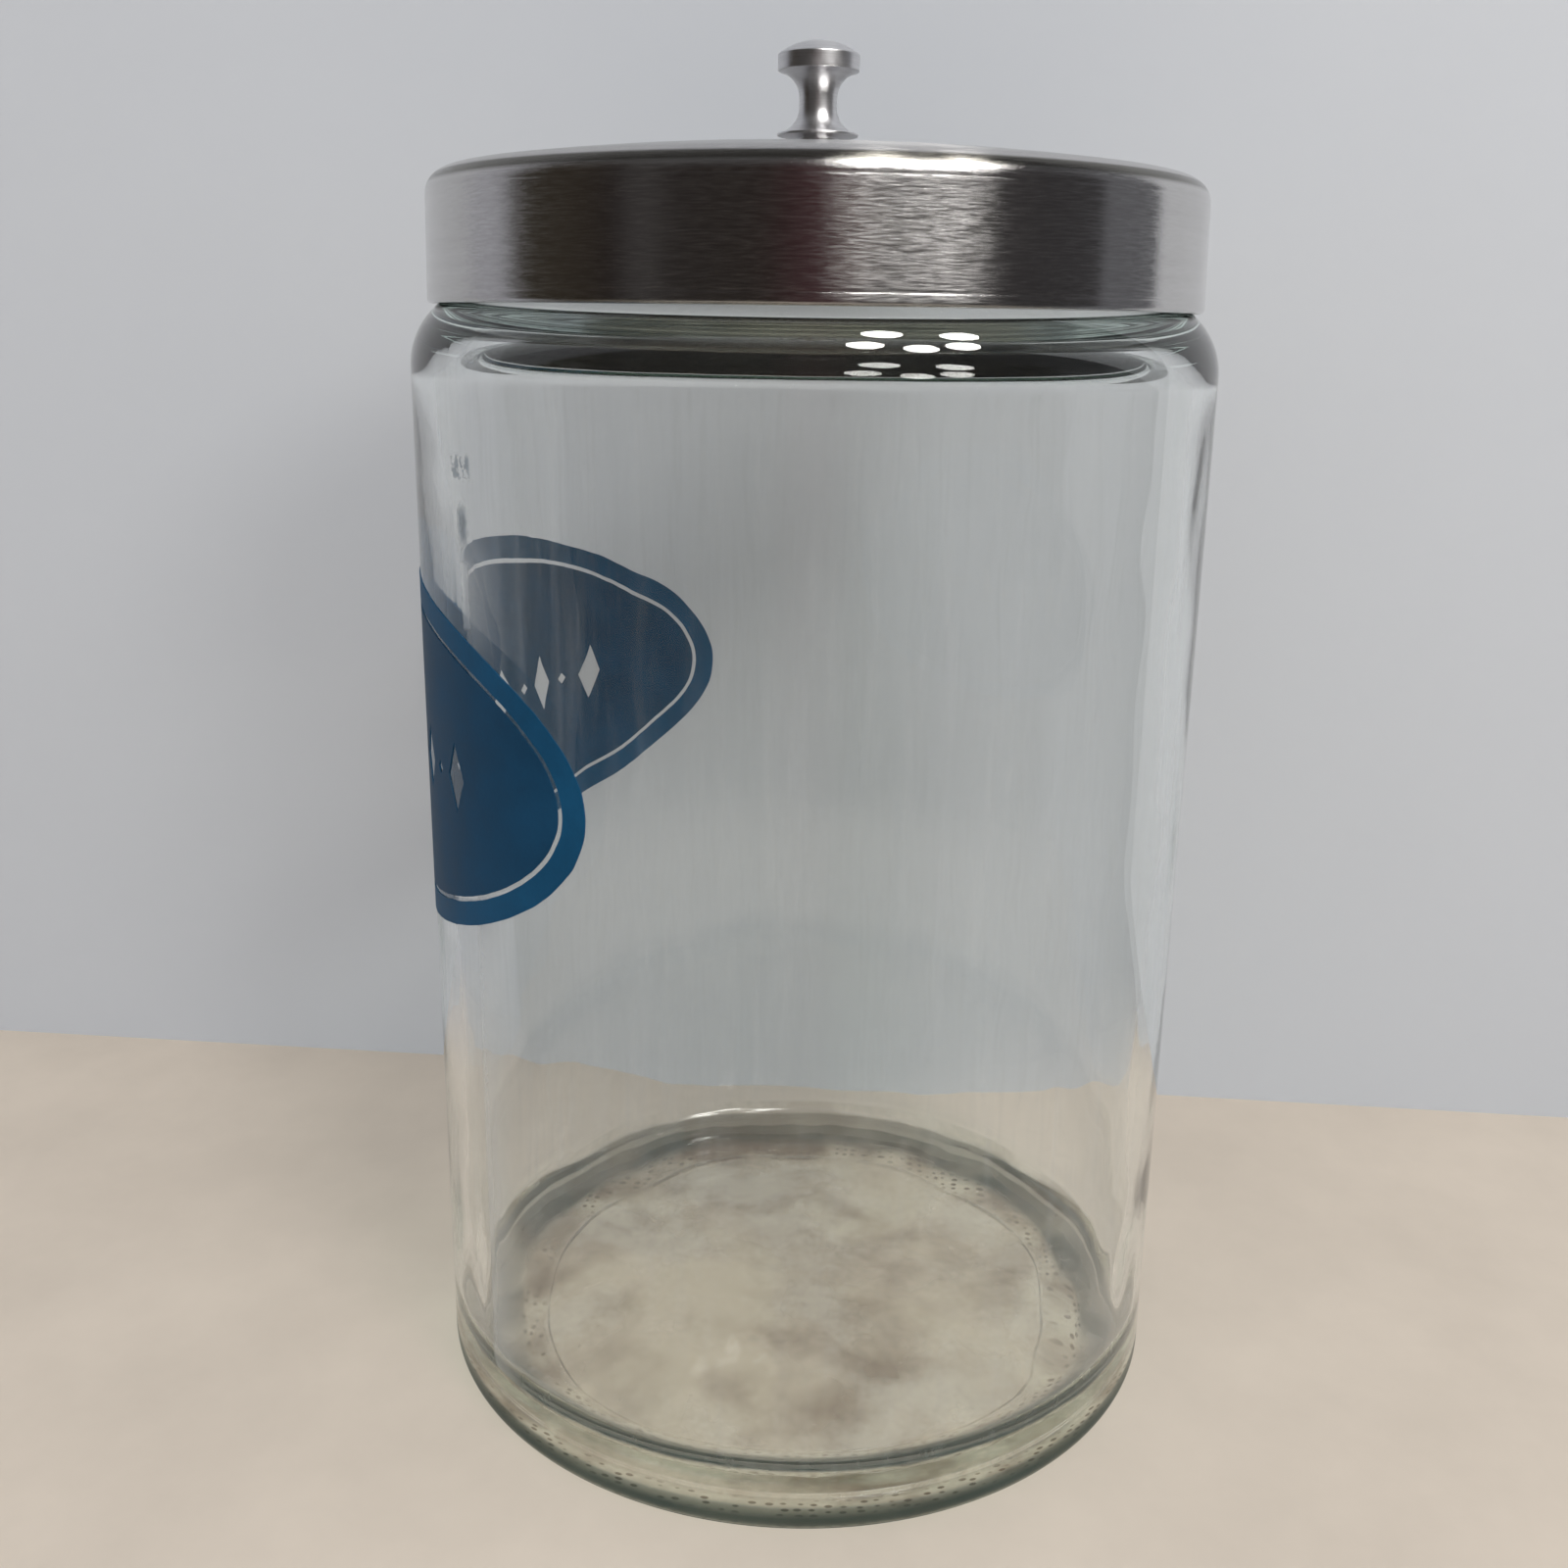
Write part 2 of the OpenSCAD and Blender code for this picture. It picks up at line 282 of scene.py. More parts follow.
def blown(outline):
    """shaped() for the jar: its inside waves gently, as blown glass does."""
    rim = max(range(len(outline)), key=lambda i: outline[i][1])

    def shaped(i, r, z, angle):
        if i <= rim:
            return r, z
        x, y = r * math.cos(angle), r * math.sin(angle)
        on_wall = eased_step(z, WAVES_LOW, WAVES_LOW + FADE) * (
            1 - eased_step(z, WAVES_HIGH - FADE, WAVES_HIGH)
        )
        if on_wall > 0:
            short = noise.noise(Vector((x, y, 0.7 * z)) / RIPPLE_LENGTH)
            long = noise.noise(Vector((x, y, 0.6 * z)) / SWELL_LENGTH)
            left = (CREASE_ANGLE - ((angle + math.pi) % TAU - math.pi)) * body_r
            even = eased_step(left, -EVEN_RIGHT, 0) * (1 - eased_step(left, *EVEN_LEFT))
            even *= eased_step(z, THICK_FOOT, THICK_FOOT + THICK_FOOT_FADE)
            low = 1 - eased_step(z, HEEL_WAVES_LOW, HEEL_WAVES_HIGH)
            waves = RIPPLE * (1 + short) * (1 + HEEL_WAVES * low) * (1 - even)
            waves += SWELL * (0.5 + 0.5 * long * (1 - even))
            upright = 1 - eased_step(z, THICK_TOP - THICK_TOP_FADE, THICK_TOP)
            upright *= eased_step(z, THICK_FOOT, THICK_FOOT + THICK_FOOT_FADE)
            waves += thick_side(left) * upright
            return r - on_wall * waves - puckers(left, z), z
        if z < FLOOR_HIGHEST:
            middle = 1 - eased_step(r, *FLOOR_WAVE_EDGE)
            wave = noise.noise(Vector((x, y, 0)) / FLOOR_WAVE_LENGTH)
            ripple = HEEL_RIPPLE * (1 + noise.noise(Vector((x, y, z)) / HEEL_RIPPLE_LENGTH))
            ripple *= eased_step(r, HEEL_R, HEEL_R + HEEL_FADE)
            ripple *= 1 - eased_step(z, FLOOR_HIGHEST - HEEL_FADE, FLOOR_HIGHEST)
            up = eased_step(z, FLOOR_HIGHEST, FLOOR_LEVEL)
            lift = FLOOR_WAVE * (0.5 + 0.5 * wave) * middle + ripple * up
            return r - ripple * (1 - up), z + lift
        return r, z

    return shaped


def jar_step(point):
    """How far apart the jar's rings may be."""
    r, z = point
    inside = r < body_r - 1 * MM
    if inside and PUCKER_LOW < z < PUCKER_HIGH:
        return PUCKER_STEP
    if WAVES_LOW < z < WAVES_HIGH:
        return WAVY_STEP if inside else STRAIGHT_STEP
    return CURVED_STEP if r > body_r - 14 * MM else FLOOR_STEP


def jar_angles():
    """Even angles, with more of them about the crease."""
    fine = [CREASE_ANGLE + CREASE_STEP * k for k in range(-CREASE_STEPS, CREASE_STEPS + 1)]
    close = sorted(a % TAU for a in fine)
    apart = [a for a in even_angles(JAR_SEGMENTS) if not close[0] <= a <= close[-1]]
    return sorted(apart + close)


def build_jar():
    outline = rounded(outline_of("glass_jar"), JAR_EASE)
    outline = spaced(outline, jar_step)
    jar = turned("jar_glass", outline, jar_angles(), shaped=blown(outline))
    stands_for(jar, "glass_jar", "jar", glass())


# ---- Enamel oval ----
LABEL_Z = (border_low.z + border_high.z) / 2
LABEL_HALF_H = (border_high.z - border_low.z) / 2
LABEL_HALF_W = body_r * math.asin(border_high.x / body_r)
FIELD_MARGIN = LABEL_HALF_H - (field_high.z - field_low.z) / 2
BORDER_W = 3.45 * MM
LOZENGES = 7
LOZENGE_PITCH = 12 * MM
LOZENGE_W = 5 * MM
LOZENGE_H = 9.5 * MM
SPACER_W = 2 * MM
ENAMEL_IN = 0.04 * MM  # how deep the fired enamel is fused into the glass
ENAMEL_OUT = 0.12 * MM  # and how far it stands proud
OVAL_POINTS = 480
ENAMEL_GRID = 1.6 * MM
WAVER = 0.09 * MM
WAVER_LENGTH = 2.6 * MM


def oval(margin):
    """The flat outline of the oval, its edge set in by a margin."""
    return [
        (
            (LABEL_HALF_W - margin) * math.cos(TAU * k / OVAL_POINTS),
            (LABEL_HALF_H - margin) * math.sin(TAU * k / OVAL_POINTS),
        )
        for k in range(OVAL_POINTS)
    ]


def in_oval(s, z, margin):
    return (s / (LABEL_HALF_W - margin)) ** 2 + (z / (LABEL_HALF_H - margin)) ** 2 < 1


def lozenges():
    """The clear lozenges of the row: (middle, half width, half height)."""
    first = -(LOZENGES - 1) / 2 * LOZENGE_PITCH
    tall = [(first + i * LOZENGE_PITCH, LOZENGE_W / 2, LOZENGE_H / 2) for i in range(LOZENGES)]
    small = [
        (first + (i + 0.5) * LOZENGE_PITCH, SPACER_W / 2, SPACER_W / 2)
        for i in range(LOZENGES - 1)
    ]
    return tall + small


def lozenge_outline(middle, half_w, half_h):
    """A lozenge's flat outline, with points enough along its sides to be wrapped."""
    corners = [
        (middle - half_w, 0),
        (middle, -half_h),
        (middle + half_w, 0),
        (middle, half_h),
    ]
    return spaced(corners, lambda _: 1 * MM, closed=True)


def in_lozenge(s, z):
    return any(abs(s - m) / w + abs(z) / h < 1 for m, w, h in lozenges())


def wrapped(s, z, r):
    """A point of the flat pattern on the cylinder of radius r about the jar's axis. Its
    lines waver slightly, as printed enamel does."""
    place = Vector((s, z, 0)) / WAVER_LENGTH
    s += WAVER * noise.noise(place)
    z += WAVER * noise.noise(place + Vector((0, 0, 9)))
    angle = s / body_r
    return (r * math.sin(angle), -r * math.cos(angle), LABEL_Z + z)


def enamel_film(name, outlines, clear_of):
    """A thin curved film between flat outlines, without what clear_of(s, z) leaves out."""
    points = [p for outline in outlines for p in outline]
    edges, start = [], 0
    for outline in outlines:
        n = len(outline)
        edges += [(start + k, start + (k + 1) % n) for k in range(n)]
        start += n
    across = int(LABEL_HALF_W / ENAMEL_GRID)
    up = int(LABEL_HALF_H / ENAMEL_GRID)
    for i in range(-across, across + 1):
        for j in range(-up, up + 1):
            s = (i + 0.5 * (j % 2)) * ENAMEL_GRID
            z = j * ENAMEL_GRID
            if not clear_of(s, z) and clear_by(s, z, points, 0.45 * ENAMEL_GRID):
                points.append((s, z))
    # The triangulation works in millimetres, because its tolerance is absolute.
    flat, _, triangles, _, _, _ = delaunay_2d_cdt(
        [Vector(p) / MM for p in points], edges, [], 1, 1e-5
    )
    flat = [(p.x * MM, p.y * MM) for p in flat]
    kept = [t for t in triangles if not clear_of(*centre_of([flat[v] for v in t]))]
    return film_of(name, flat, kept)


def clear_by(s, z, points, distance):
    """True if no point of the outlines lies nearer than distance."""
    return all(abs(p[0] - s) > distance or abs(p[1] - z) > distance for p in points)


def centre_of(corners):
    return tuple(sum(c[k] for c in corners) / len(corners) for k in (0, 1))


def film_of(name, flat, triangles):
    """Wraps a flat pattern round the jar's wall and gives it the enamel's thickness."""
    count = len(flat)
    points = [wrapped(s, z, body_r + ENAMEL_OUT) for s, z in flat]
    points += [wrapped(s, z, body_r - ENAMEL_IN) for s, z in flat]
    edges = {(t[k], t[(k + 1) % 3]) for t in triangles for k in range(3)}
    rim = [(a, b) for a, b in edges if (b, a) not in edges]
    faces = [tuple(t) for t in triangles]
    faces += [tuple(v + count for v in reversed(t)) for t in triangles]
    faces += [(b, a, a + count, b + count) for a, b in sorted(rim)]
    return piece_of(name, points, faces)


def build_label():
    border = enamel_film(
        "enamel_border",
        [oval(0), oval(BORDER_W)],
        lambda s, z: not in_oval(s, z, 0) or in_oval(s, z, BORDER_W),
    )
    field = enamel_film(
        "enamel_field",
        [oval(FIELD_MARGIN)] + [lozenge_outline(*shape) for shape in lozenges()],
        lambda s, z: not in_oval(s, z, FIELD_MARGIN) or in_lozenge(s, z),
    )
    stands_for(border, "label_border", "jar", enamel("border_blue", BORDER_BLUE))
    stands_for(field, "label_field", "jar", enamel("field_blue", FIELD_BLUE))


# ---- Lid ----
HEM_LINE_ABOVE = 1.5 * MM  # the folded hem shows outside as a faint line
CORNER_LINE_BELOW = 6.5 * MM  # and so does the start of the rounded edge, under the top
LINE_DEPTH = 0.05 * MM
LINE_WIDTH = 0.16 * MM
SKIRT_R = lid_high.x - 1 * MM  # rings beyond this radius are on the skirt's outside
INNER_SKIRT_R = lid_high.x - 0.75 * MM
DENT = 0.025 * MM  # how far drawing and handling left the skirt out of round
DENT_LENGTH = 22 * MM


def lid_shaped(i, r, z, angle):
    """The skirt's faint lines and its slight unevenness, never outside the CAD shape."""
    if r < SKIRT_R - 1 * MM:
        return r, z
    lines = LINE_DEPTH * bell(z - (lid_low.z + HEM_LINE_ABOVE), LINE_WIDTH)
    lines += 0.7 * LINE_DEPTH * bell(z - (lid_high.z - CORNER_LINE_BELOW), LINE_WIDTH)
    place = Vector((r * math.cos(angle), r * math.sin(angle), 0.5 * z))
    uneven = DENT * (0.5 + 0.5 * noise.noise(place / DENT_LENGTH))
    return r - (lines if r > SKIRT_R else 0) - uneven, z


def lid_step(point):
    r, z = point
    hem_line = abs(z - (lid_low.z + HEM_LINE_ABOVE)) < 0.6 * MM
    corner_line = abs(z - (lid_high.z - CORNER_LINE_BELOW)) < 0.6 * MM
    if r > SKIRT_R and (hem_line or corner_line):
        return 0.1 * MM
    return 0.8 * MM if r > SKIRT_R - 4 * MM else 2.5 * MM


def build_lid():
    outline = rounded(outline_of("lid_shell"), LID_EASE, closed=True)
    outline = spaced(spaced(outline, lambda _: 1 * MM, closed=True), lid_step, closed=True)
    lid = turned("lid_sheet", outline, even_angles(LID_SEGMENTS), True, lid_shaped)
    stands_for(lid, "lid_shell", "lid", brushed_steel())


# ---- Knob and its fastening ----


def build_knob():
    outline = rounded(outline_of("knob"), KNOB_EASE)
    outline = spaced(outline, lambda _: KNOB_STEP)
    knob = turned("turned_knob", outline, even_angles(KNOB_SEGMENTS))
    stands_for(knob, "knob", "lid", turned_aluminium())


def finish_fastening():
    """The screw and the washer keep their CAD shape and get a plated finish."""
    plated = plated_steel()
    for node in ("knob_screw", "screw_washer"):
        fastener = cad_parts[node]
        fastener.data.materials.clear()
        fastener.data.materials.append(plated)


# ---- Materials ----
BORDER_BLUE = (0.004, 0.068, 0.155)
FIELD_BLUE = (0.004, 0.050, 0.115)
GLASS_IOR = 1.52
CLEAR = (1.0, 1.0, 1.0)
# painted shade: the tint that darkens and browns what is seen through the glass floor
SHADED_BROWN = (0.84, 0.745, 0.64)
LET_THROUGH = (0.985, 0.985, 0.98)
MARK = (0.13, 0.16, 0.19)
FILM = (0.62, 0.64, 0.66)
WORN_DARK = (0.19, 0.135, 0.09)
WORN_PALE = (0.60, 0.525, 0.41)
# painted shade: a near-black film where the base meets the floor, standing in for contact shadow
CONTACT_SHADE_OLIVE = (0.03, 0.042, 0.036)
DEEP_GREEN = (0.45, 0.80, 0.66)
DEEP_DENSITY = 9.0
SKIN = 0.006 * MM  # the blown surface's own unevenness
SKIN_SIZE = 6 * MM
HEEL_ROUGH = 0.08

# Masks fade from 0 at the first number to 1 at the second: radii and heights of the base.
UNDERSIDE_TOP = (4 * MM, 3.6 * MM)
UNDERSIDE_EDGE = (51.8 * MM, 51.2 * MM)
CONTACT_TOP = (1.7 * MM, 1.1 * MM)
ABOVE_UNDERSIDE = (4.5 * MM, 5 * MM)
RING_INSIDE = (39.5 * MM, 42 * MM)
RING_OUTSIDE = (51.5 * MM, 50.5 * MM)
OUTER_RING = (43 * MM, 48 * MM)
FOOT_TOP = (5.6 * MM, 4.4 * MM)
FOOT_SIDE = (51.9 * MM, 52.3 * MM)
FLOOR_TOP = (9 * MM, 8 * MM)
HEEL_INSIDE = (43 * MM, 45 * MM)
HEEL_OUTSIDE = (51.6 * MM, 51.2 * MM)
HEEL_TOP = (15 * MM, 12 * MM)
# where the glass floor takes its tint of painted shade
SHADE_TINT_TOP = (11 * MM, 8 * MM)
SHADE_TINT_EDGE = (50 * MM, 44 * MM)
DOT_PITCH = 1.9 * MM  # the ring's stipple
DOT_SIDE = (0.34, 0.2)
DOTS_OUTSIDE = (47 * MM, 46 * MM)

INNER_FACE = (body_r - 6 * MM, body_r - 2 * MM)
CLOUD_SIZE = 19 * MM  # of the clouds of dried water
CLOUD_TONES = (0.38, 0.62)
MOTTLE_SIZE = 0.9 * MM
STAIN_BROAD = 31 * MM  # stains are broad and fine patches together
STAIN_FINE = 8 * MM
STAIN_BROAD_PART = 0.65
SHADE_TINT_LEAST = 0.2
SHADE_TINT_MORE = 0.5

# The chill mark. Distances from its middle are in millimetres.
MARK_RAGGED = 1.4
SPINDLE_TIP = 3 * MM
SPINDLE_THIN = 0.9
SPINDLE_BELLY = 1.3
SPINDLE_CORE = 0.5
SPOT_TONES = (0.42, 0.56)
SPOT_SIDE = (3.0, 2.0)
STREAK_SIDE = (1.4, 0.7)
VEIL_RIGHT = (9.0, 0.3)
VEIL_LEFT = (-0.6, 0.3)
VEIL_TOP = (128 * MM, 122 * MM)

# How much each film covers, where 1 hides the glass.
RING_WEAR = 0.4
PATCH_WEAR = 0.5
EVEN_WEAR = 0.25
STREAK_FILM = 0.5
VEIL_FILM = 0.3
MARK_FILM = 0.8
FLOOR_FILM = 0.3
# painted contact shadow on the base's outer ring and on the foot
OUTER_SHADE = 0.85
FOOT_SHADE = 0.55
WIPED = 0.06
HAZE = 0.01
HAZE_TOP = (148 * MM, 140 * MM)
WIPE_WIDTH = 2.6 * MM
WIPE_STRETCH = 0.06  # wiping left upright streaks
WIPE_TONES = (0.5, 0.75)


class Shading:
    """The nodes of a material or a world. add() makes a node; a value that is a socket
    is linked."""

    def __init__(self, owner):
        owner.use_nodes = True
        self.owner = owner
        self.nodes = owner.node_tree.nodes
        self.links = owner.node_tree.links
        self.shader = self.nodes.get("Principled BSDF") or self.nodes["Background"]
        self.output = self.nodes.get("Material Output") or self.nodes["World Output"]

    def surface(self, socket):
        self.links.new(socket, self.output.inputs["Surface"])

    def put(self, node, inputs):
        for name, value in inputs.items():
            if isinstance(value, bpy.types.NodeSocket):
                self.links.new(value, node.inputs[name])
            else:
                node.inputs[name].default_value = value
        return node

    def add(self, kind, inputs=None, **settings):
        node = self.nodes.new("ShaderNode" + kind)
        for name, value in settings.items():
            setattr(node, name, value)
        return self.put(node, inputs or {})

    def math(self, operation, *values):
        """The result of a Math node."""
        return self.add("Math", dict(enumerate(values)), operation=operation).outputs[0]

    def product(self, *factors):
        return reduce(lambda a, b: self.math("MULTIPLY", a, b), factors)

    def most(self, *values):
        return reduce(lambda a, b: self.math("MAXIMUM", a, b), values)

    def between(self, value, low, high):
        """value, mapped so that low gives 0 and high gives 1, with smooth ends."""
        node = self.add(
            "MapRange",
            {"Value": value, "From Min": low, "From Max": high},
            interpolation_type="SMOOTHSTEP",
        )
        return node.outputs["Result"]

    def band(self, value, low, high, edge):
        """1 between low and high, which fades to 0 over the edges inside them."""
        rise = self.between(value, low, low + edge)
        return self.product(rise, self.between(value, high, high - edge))

    def mixed(self, factor, first, second):
        """The shader between two shaders; a factor of 1 gives the second."""
        return self.add("MixShader", {0: factor, 1: first, 2: second}).outputs[0]

    def place(self, kind="Object"):
        """The piece's own coordinates, or another kind: the vector and x, y, z."""
        vector = self.add("TexCoord").outputs[kind]
        split = self.add("SeparateXYZ", {0: vector})
        return vector, *split.outputs

    def radius(self):
        """How far a point lies from the upright axis."""
        _, x, y, _ = self.place()
        squares = [self.math("POWER", side, 2.0) for side in (x, y)]
        return self.math("SQRT", self.math("ADD", *squares))

    def noise(self, vector, size, detail=2.0, rough=0.5):
        """Noise between 0 and 1 whose patches are about size metres wide."""
        node = self.add(
            "TexNoise", {"Vector": vector, "Scale": 1 / size, "Detail": detail, "Roughness": rough}
        )
        return node.outputs["Fac"]

    def blend(self, factor, first, second):
        """The colour between two colours."""
        inputs = {0: factor, 6: first, 7: second}
        return self.add("Mix", inputs, data_type="RGBA").outputs[2]

    def ramp(self, value, *stops):
        """A colour ramp's colour. Each stop is (position, colour)."""
        node = self.add("ValToRGB", {"Fac": value})
        elements = node.color_ramp.elements
        while len(elements) < len(stops):
            elements.new(0.5)
        for element, (position, colour) in zip(elements, stops):
            element.position = position
            element.color = (*colour, 1)
        return node.outputs["Color"]

    def bump(self, height, distance, strength=1.0):
        inputs = {"Height": height, "Distance": distance, "Strength": strength}
        return self.add("Bump", inputs).outputs["Normal"]


def new_material(name):
    return Shading(bpy.data.materials.new(name))


def shade(colour, factor):
    return tuple(channel * factor for channel in colour)


def base_masks(s, z, r):
    """Where the base differs: under it, on its stippled bearing ring, on the outer part of that
    ring and on the foot outside, which get painted contact shadow, on the floor inside and on the
    heel inside."""
    underside = s.product(s.between(z, *UNDERSIDE_TOP), s.between(r, *UNDERSIDE_EDGE))
    under = s.most(underside, s.between(z, *CONTACT_TOP))
    above = s.between(z, *ABOVE_UNDERSIDE)
    return SimpleNamespace(
        under=under,
        ring=s.product(s.between(r, *RING_INSIDE), s.between(r, *RING_OUTSIDE)),
        outer=s.product(s.between(r, *OUTER_RING), under),
        foot=s.product(s.between(z, *FOOT_TOP), s.between(r, *FOOT_SIDE)),
        floor=s.product(s.between(z, *FLOOR_TOP), above),
        heel=s.product(
            s.between(r, *HEEL_INSIDE), s.between(r, *HEEL_OUTSIDE), s.between(z, *HEEL_TOP), above
        ),
    )


def mark_masks(s, mottle):
    """Where the chill mark is, on the inner face only: a dark spindle under a rippled
    spot, a pale streak below them, and a thin veil beside it."""
    _, x, y, z = s.place()
    inner = s.band(s.radius(), *INNER_FACE, 0.5 * MM)
    turn = s.math("SUBTRACT", s.math("ARCTAN2", y, x), CREASE_ANGLE)
    from_crease = s.math("MULTIPLY", turn, body_r / MM)  # in millimetres
    off = s.math("ABSOLUTE", from_crease)
    ragged = s.math("MULTIPLY", s.math("SUBTRACT", mottle, 0.5), MARK_RAGGED)
    edge = s.math("ADD", off, ragged)
    spindle_z = s.band(z, SPINDLE_LOW, SPINDLE_HIGH, SPINDLE_TIP)
    spindle_w = s.math("ADD", s.math("MULTIPLY", spindle_z, SPINDLE_BELLY), SPINDLE_THIN)
    spindle = s.product(s.between(edge, spindle_w, SPINDLE_CORE), spindle_z)
    spots = s.product(
        s.between(mottle, *SPOT_TONES),
        s.between(off, *SPOT_SIDE),
        s.band(z, PUCKER_LOW, PUCKER_HIGH, 1 * MM),
    )
    streak = s.product(
        s.between(edge, *STREAK_SIDE), s.band(z, STREAK_LOW, SPINDLE_LOW, 1 * MM), inner
    )
    veil = s.product(
        s.between(from_crease, *VEIL_RIGHT),
        s.between(from_crease, *VEIL_LEFT),
        s.between(z, *VEIL_TOP),
        inner,
    )
    return SimpleNamespace(dark=s.product(s.most(spindle, spots), inner), streak=streak, veil=veil)


def film_on(s, base, mark, patches):
    """How thickly dust, wear and dried water cover the glass, from 0 to 1, and how thickly painted
    contact shadow covers the base's outer ring and foot.
    """
    vector, x, y, z = s.place()
    wear = s.math("ADD", s.product(base.ring, RING_WEAR), s.product(patches, PATCH_WEAR))
    worn = s.product(s.math("ADD", wear, EVEN_WEAR), base.under)
    upright = s.add("CombineXYZ", {"X": x, "Y": y, "Z": s.product(z, WIPE_STRETCH)}).outputs[0]
    wiped = s.between(s.noise(upright, WIPE_WIDTH, 4.0, 0.65), *WIPE_TONES)
    haze = s.product(s.math("ADD", s.product(wiped, WIPED), HAZE), s.between(z, *HAZE_TOP))
    return s.most(
        haze,
        worn,
        s.product(mark.streak, STREAK_FILM),
        s.product(mark.veil, VEIL_FILM),
        s.product(mark.dark, MARK_FILM),
        s.product(base.floor, patches, FLOOR_FILM),
        # painted contact shadow on the outer ring and the foot
        s.product(base.outer, OUTER_SHADE),
        s.product(base.foot, FOOT_SHADE),
    )


def film_colour(s, base, mark, mottle, cloud):
    """The colour of what covers the glass, with a near-black film of painted contact shadow on the
    base's outer ring and foot.
    """
    vector, *_ = s.place()
    broad = s.product(s.noise(vector, STAIN_BROAD, 2.0), STAIN_BROAD_PART)
    fine = s.product(s.noise(vector, STAIN_FINE, 3.0, 0.6), 1 - STAIN_BROAD_PART)
    stains = s.math("ADD", broad, fine)
    dots = s.add("TexVoronoi", {"Vector": vector, "Scale": 1 / DOT_PITCH, "Randomness": 0.35})
    dimples = s.product(
        s.between(dots.outputs["Distance"], *DOT_SIDE),
        base.ring,
        s.between(s.radius(), *DOTS_OUTSIDE),
        base.under,
    )
    dust = s.ramp(mottle, (0.3, FILM), (0.7, shade(FILM, 1.1)))
    layers = (
        (mark.dark, s.ramp(mottle, (0.3, MARK), (0.7, shade(MARK, 1.6)))),
        (s.most(base.under, base.floor), s.ramp(stains, (0.42, WORN_DARK), (0.57, WORN_PALE))),
        (dimples, s.ramp(cloud, (0.3, shade(WORN_DARK, 0.5)), (0.7, WORN_DARK))),
        (
            # painted contact shadow: the outer ring and the foot are near black
            s.most(base.outer, base.foot),
            s.ramp(cloud, (0.3, CONTACT_SHADE_OLIVE), (0.7, shade(CONTACT_SHADE_OLIVE, 1.8))),
        ),
    )
    for mask, colour in layers:
        dust = s.blend(mask, dust, colour)
    return dust


def glass():
    """Pale soda-lime glass, green where it is deep. Lamps shine through it."""
    s = new_material("clear_glass")
    vector, _, _, z = s.place()
    r = s.radius()
    cloud = s.noise(vector, CLOUD_SIZE, 5.0, 0.62)
    patches = s.between(cloud, *CLOUD_TONES)
    mottle = s.noise(vector, MOTTLE_SIZE, 3.0, 0.6)
    base = base_masks(s, z, r)
    mark = mark_masks(s, mottle)
    # The glass floor is tinted darker and brownish, in patches: painted shade of the floor beneath
    # the base.
    low = s.product(s.between(z, *SHADE_TINT_TOP), s.between(r, *SHADE_TINT_EDGE))
    shade_tint = s.product(low, s.math("ADD", SHADE_TINT_LEAST, s.product(patches, SHADE_TINT_MORE)))
    s.put(
        s.shader,
        {
            "Base Color": s.ramp(shade_tint, (0.0, CLEAR), (1.0, SHADED_BROWN)),
            "Roughness": s.product(base.heel, HEEL_ROUGH),
            "IOR": GLASS_IOR,
            "Transmission Weight": 1.0,
            "Normal": s.bump(s.noise(vector, SKIN_SIZE, 1.0), SKIN),
        },
    )
    coat = s.add("BsdfDiffuse", {"Color": film_colour(s, base, mark, mottle, cloud)}).outputs[0]
    coated = s.mixed(film_on(s, base, mark, patches), s.shader.outputs[0], coat)
    # Lamps and soft light go straight through, so that what lies behind is lit.
    straight = s.add("BsdfTransparent", {"Color": (*LET_THROUGH, 1)}).outputs[0]
    path = s.add("LightPath").outputs
    through = s.most(path["Is Shadow Ray"], path["Is Diffuse Ray"])
    s.surface(s.mixed(through, coated, straight))
    depth = s.add("VolumeAbsorption", {"Color": (*DEEP_GREEN, 1), "Density": DEEP_DENSITY})
    s.links.new(depth.outputs[0], s.output.inputs["Volume"])
    return s.owner


def enamel(name, blue):
    """Fired enamel: deep colour, slightly uneven, with a dull gloss."""
    s = new_material(name)
    vector, *_ = s.place()
    patches = s.noise(vector, 9 * MM, 4.0, 0.6)
    grain = s.noise(vector, 0.5 * MM, 2.0)
    tone = s.math("ADD", s.math("MULTIPLY", patches, 0.8), s.math("MULTIPLY", grain, 0.2))
    colour = s.ramp(tone, (0.3, shade(blue, 0.82)), (0.7, shade(blue, 1.2)))
    gloss = s.add("MapRange", {"Value": patches, "To Min": 0.42, "To Max": 0.6})
    s.put(
        s.shader,
        {
            "Base Color": colour,
            "Roughness": gloss.outputs["Result"],
            "IOR": 1.5,
            "Specular IOR Level": 0.12,
            "Normal": s.bump(grain, 0.02 * MM, 0.5),
        },
    )
    return s.owner


def brushed(s, length, pitch):
    """Noise drawn out into lines that run round the axis. length is how far round a line
    reaches, and pitch how far apart the lines are."""
    _, x, y, z = s.place()
    r = s.radius()
    along_section = s.math("SUBTRACT", z, r)
    place = s.add(
        "CombineXYZ",
        {
            "X": s.math("MULTIPLY", s.math("DIVIDE", x, r), 1 / length),
            "Y": s.math("MULTIPLY", s.math("DIVIDE", y, r), 1 / length),
            "Z": s.math("MULTIPLY", along_section, 1 / pitch),
        },
    ).outputs[0]
    return s.noise(place, 1.0, 5.0, 0.6)


